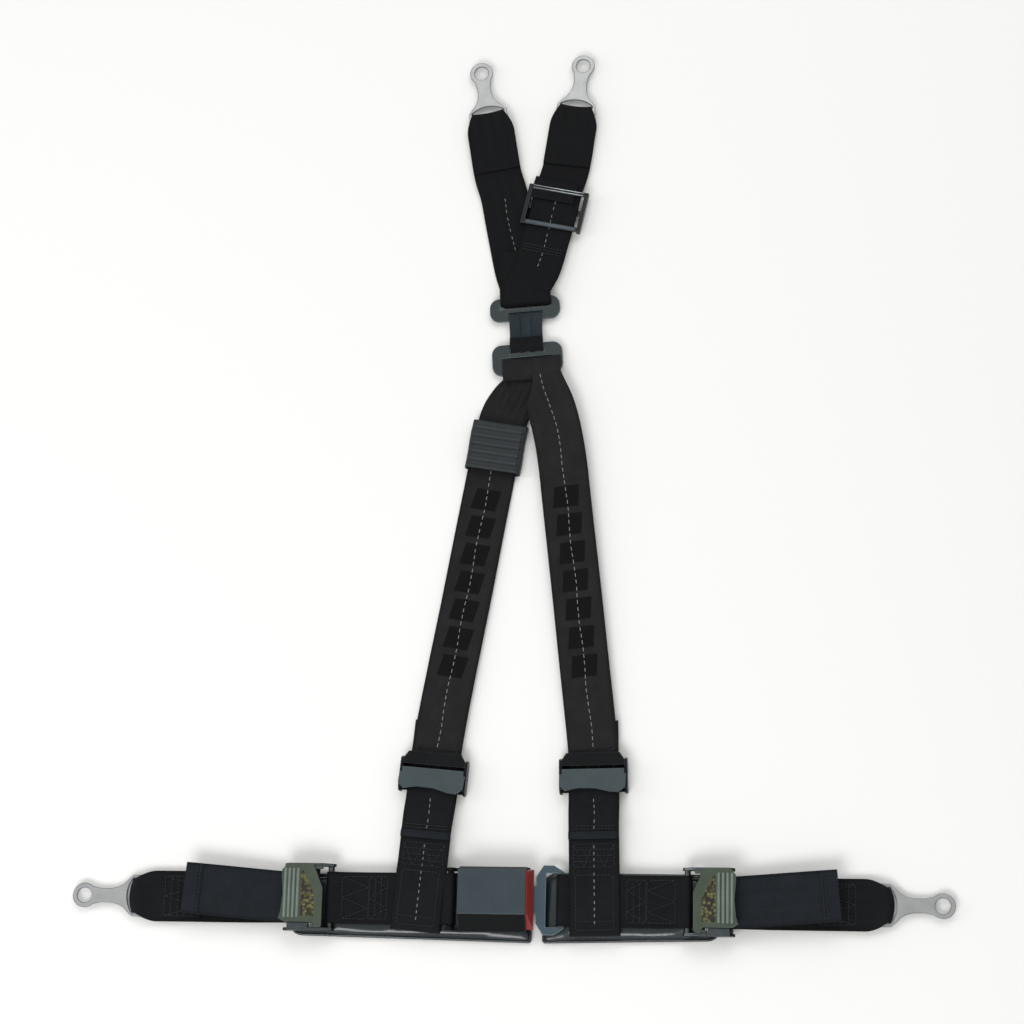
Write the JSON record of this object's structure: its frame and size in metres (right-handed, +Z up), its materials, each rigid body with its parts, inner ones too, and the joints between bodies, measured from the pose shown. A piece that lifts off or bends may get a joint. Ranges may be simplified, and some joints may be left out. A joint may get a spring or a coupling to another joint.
{
  "type": "racing harness",
  "caption": "Y-back racing harness laid flat: lap belts with tilt-lock adjusters and pads, push-button buckle, shoulder belts meeting at a yoke, rear belts and bolt-in anchor plates.",
  "frame": {"origin": "centre of the bounding box's bottom face, on the surface that the harness lies on", "axes": "+X along the lap belt from the buckle half towards the tongue half, +Y from the lap belt to the rear anchors, +Z up from the surface"},
  "size_m": [0.8534, 0.9165, 0.03],
  "materials": {
    "harness_webbing": "woven polyester webbing, near black, with a single tracer thread",
    "shoulder_webbing": "woven polyester webbing, charcoal",
    "tail_webbing": "woven polyester webbing, blue-black",
    "link_webbing": "ribbed heavy webbing, grey-green",
    "cover_cloth": "ribbed woven cover, dark grey",
    "pad_vinyl": "smooth coated cloth, semi-gloss",
    "buckle_housing": "moulded nylon, satin gloss",
    "black_plastic": "moulded nylon",
    "red_plastic": "moulded ABS, satin",
    "green_lever": "painted die casting, satin with worn edges",
    "grey_lever": "painted steel, satin",
    "olive_grip": "grained inset",
    "black_steel": "black powder coat, semi-gloss",
    "ring_steel": "dark painted steel, semi-gloss",
    "blued_steel": "blue-grey plated steel",
    "zinc_steel": "bright zinc plate",
    "spring_steel": "oiled spring steel"
  },
  "bodies": {
    "harness": {"buckle_base": "black_steel", "buckle_cover": "buckle_housing", "button_springs": "spring_steel", "latch_leaf": "spring_steel", "ejector_spring": "spring_steel", "buckle_screws": "zinc_steel", "left_inner_webbing": "harness_webbing", "left_lap_pad": "pad_vinyl", "left_lower_strap": "harness_webbing", "left_shoulder_adjuster_frame": "black_steel", "left_shoulder_lock_bar": "zinc_steel", "left_shoulder_webbing": "shoulder_webbing", "tear_webbing": "shoulder_webbing", "tear_webbing_cover": "cover_cloth", "lower_yoke_ring": "ring_steel"},
    "button": {"release_button": "red_plastic"},
    "ejector_slider": {"ejector": "black_plastic"},
    "right_lap": {"tongue": "blued_steel", "right_inner_webbing": "harness_webbing", "right_lap_pad": "pad_vinyl"},
    "right_shoulder": {"right_lower_strap": "harness_webbing", "right_shoulder_adjuster_frame": "black_steel", "right_shoulder_lock_bar": "zinc_steel", "right_shoulder_webbing": "shoulder_webbing"},
    "link": {"yoke_link": "link_webbing"},
    "upper_ring": {"upper_yoke_ring": "ring_steel"},
    "rear_belts": {"left_rear_webbing": "harness_webbing", "right_rear_webbing": "harness_webbing"},
    "slide_buckle": {"rear_slide": "black_steel"},
    "left_lap_outer": {"left_lap_adjuster_frame": "black_steel", "left_lap_lock_bar": "zinc_steel", "left_lap_webbing": "harness_webbing"},
    "left_lap_lever_body": {"left_lap_lever": "green_lever", "left_lap_grip": "olive_grip"},
    "left_tail": {"left_lap_tail": "tail_webbing"},
    "left_lap_plate": {"left_lap_anchor": "zinc_steel"},
    "left_shoulder_lever_body": {"left_shoulder_lever": "grey_lever"},
    "left_rear_plate": {"left_rear_anchor": "zinc_steel"},
    "right_lap_outer": {"right_lap_adjuster_frame": "black_steel", "right_lap_lock_bar": "zinc_steel", "right_lap_webbing": "harness_webbing"},
    "right_lap_lever_body": {"right_lap_lever": "green_lever", "right_lap_grip": "olive_grip"},
    "right_tail": {"right_lap_tail": "tail_webbing"},
    "right_lap_plate": {"right_lap_anchor": "zinc_steel"},
    "right_shoulder_lever_body": {"right_shoulder_lever": "grey_lever"},
    "right_rear_plate": {"right_rear_anchor": "zinc_steel"}
  },
  "joints": [
    {"name": "button_press", "type": "slide", "parent": "harness", "child": "button", "axis": [-1, 0, 0], "range_m": [0, 0.005], "stiffness_N_per_m": 1200, "deforming": ["button_springs", "latch_leaf"]},
    {"name": "tongue_release", "type": "slide", "parent": "harness", "child": "right_lap", "axis": [1, 0, 0], "range_m": [0, 0.03], "deforming": ["latch_leaf"]},
    {"name": "ejector_push", "type": "slide", "parent": "harness", "child": "ejector_slider", "axis": [1, 0, 0], "range_m": [0, 0.006], "deforming": ["ejector_spring"]},
    {"name": "right_shoulder_swing", "type": "hinge", "parent": "harness", "child": "right_shoulder", "pos_m": [0.028, 0.113, 0.0055], "axis": [0, 0, 1], "range_deg": [0, 3.3]},
    {"name": "left_lap_fold", "type": "hinge", "parent": "harness", "child": "left_lap_outer", "pos_m": [-0.168, -0.419, 0.013], "axis": [0, 1, 0], "range_deg": [0, 80]},
    {"name": "left_lap_lever_lift", "type": "hinge", "parent": "left_lap_outer", "child": "left_lap_lever_body", "pos_m": [-0.178, -0.419, 0.0196], "axis": [0, 1, 0], "range_deg": [0, 42]},
    {"name": "left_tail_lift", "type": "hinge", "parent": "left_lap_outer", "child": "left_tail", "pos_m": [-0.216, -0.419, 0.015], "axis": [0, 1, 0], "range_deg": [0, 60]},
    {"name": "left_lap_anchor_swing", "type": "hinge", "parent": "left_lap_outer", "child": "left_lap_plate", "pos_m": [-0.361, -0.419, 0.0055], "axis": [0, 1, 0], "range_deg": [0, 100]},
    {"name": "right_lap_fold", "type": "hinge", "parent": "right_lap", "child": "right_lap_outer", "pos_m": [0.176, -0.419, 0.013], "axis": [0, -1, 0], "range_deg": [0, 80]},
    {"name": "right_lap_lever_lift", "type": "hinge", "parent": "right_lap_outer", "child": "right_lap_lever_body", "pos_m": [0.186, -0.419, 0.0196], "axis": [0, -1, 0], "range_deg": [0, 42]},
    {"name": "right_tail_lift", "type": "hinge", "parent": "right_lap_outer", "child": "right_tail", "pos_m": [0.224, -0.419, 0.015], "axis": [0, -1, 0], "range_deg": [0, 60]},
    {"name": "right_lap_anchor_swing", "type": "hinge", "parent": "right_lap_outer", "child": "right_lap_plate", "pos_m": [0.361, -0.419, 0.0055], "axis": [0, -1, 0], "range_deg": [0, 100]},
    {"name": "left_shoulder_lever_lift", "type": "hinge", "parent": "harness", "child": "left_shoulder_lever_body", "pos_m": [-0.07171, -0.29647, 0.011], "axis": [-0.9965, 0.0837, 0], "range_deg": [0, 38]},
    {"name": "right_shoulder_lever_lift", "type": "hinge", "parent": "right_shoulder", "child": "right_shoulder_lever_body", "pos_m": [0.08424, -0.2955, 0.011], "axis": [-0.9996, -0.0279, 0], "range_deg": [0, 38]},
    {"name": "link_fold", "type": "hinge", "parent": "harness", "child": "link", "pos_m": [0.0091, 0.13887, 0.0055], "axis": [0.9976, 0.0698, 0], "range_deg": [0, 45]},
    {"name": "upper_ring_fold", "type": "hinge", "parent": "link", "child": "upper_ring", "pos_m": [0.00691, 0.17019, 0.0055], "axis": [0.9976, 0.0698, 0], "range_deg": [0, 45]},
    {"name": "rear_belts_fold", "type": "hinge", "parent": "upper_ring", "child": "rear_belts", "pos_m": [0.00563, 0.18855, 0.0055], "axis": [0.9976, 0.0698, 0], "range_deg": [0, 80]},
    {"name": "rear_slide_shift", "type": "slide", "parent": "rear_belts", "child": "slide_buckle", "axis": [0.2044, 0.9786, -0.0227], "range_m": [-0.012, 0.02]},
    {"name": "left_rear_anchor_swing", "type": "hinge", "parent": "rear_belts", "child": "left_rear_plate", "pos_m": [-0.037, 0.392, 0.0055], "axis": [0.9848, 0.1736, 0], "range_deg": [0, 100]},
    {"name": "right_rear_anchor_swing", "type": "hinge", "parent": "rear_belts", "child": "right_rear_plate", "pos_m": [0.0546, 0.3967, 0.0055], "axis": [0.9903, -0.1392, 0], "range_deg": [0, 100]}
  ],
  "couplings": [
    {"joint": "ejector_push", "follows": "tongue_release", "ratio": 0.2},
    {"joint": "right_shoulder_swing", "follows": "tongue_release", "rad_per_m": 1.88}
  ]
}
